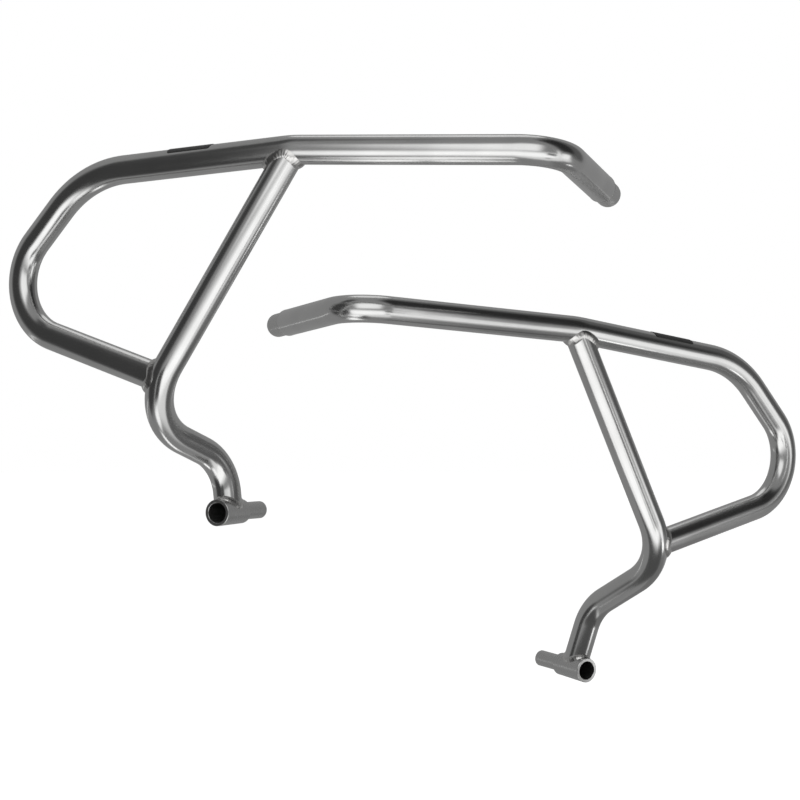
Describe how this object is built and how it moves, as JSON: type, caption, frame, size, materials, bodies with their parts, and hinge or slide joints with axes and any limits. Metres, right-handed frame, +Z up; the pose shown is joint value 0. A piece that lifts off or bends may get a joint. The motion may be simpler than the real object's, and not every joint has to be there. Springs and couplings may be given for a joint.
{
  "type": "motorcycle crash bars",
  "caption": "Left and right motorcycle crash bars of bent satin steel tube, each with a front loop, a brace, a bored mount sleeve at the foot and a threaded plug in the tip.",
  "frame": {"origin": "centre of the seat face of the left mount sleeve, on its bolt axis", "axes": "X runs to the right across the bars as they stand side by side with their outer faces forward, Y runs back from the outer faces towards the motorcycle, Z is up"},
  "size_m": [0.8384, 0.4921, 0.5556],
  "materials": {
    "satin_steel": "satin polished tube",
    "turned_steel": "turned",
    "weld_steel": "bright weld bead"
  },
  "bodies": {
    "root": {"left_main_tube": "satin_steel", "left_brace_tube": "satin_steel", "left_mount_sleeve": "turned_steel", "left_end_plug": "turned_steel", "left_brace_weld": "weld_steel", "left_loop_weld": "weld_steel", "left_sleeve_weld": "weld_steel", "left_plug_weld": "weld_steel", "right_main_tube": "satin_steel", "right_brace_tube": "satin_steel", "right_mount_sleeve": "turned_steel", "right_end_plug": "turned_steel", "right_brace_weld": "weld_steel", "right_loop_weld": "weld_steel", "right_sleeve_weld": "weld_steel", "right_plug_weld": "weld_steel"}
  },
  "joints": []
}
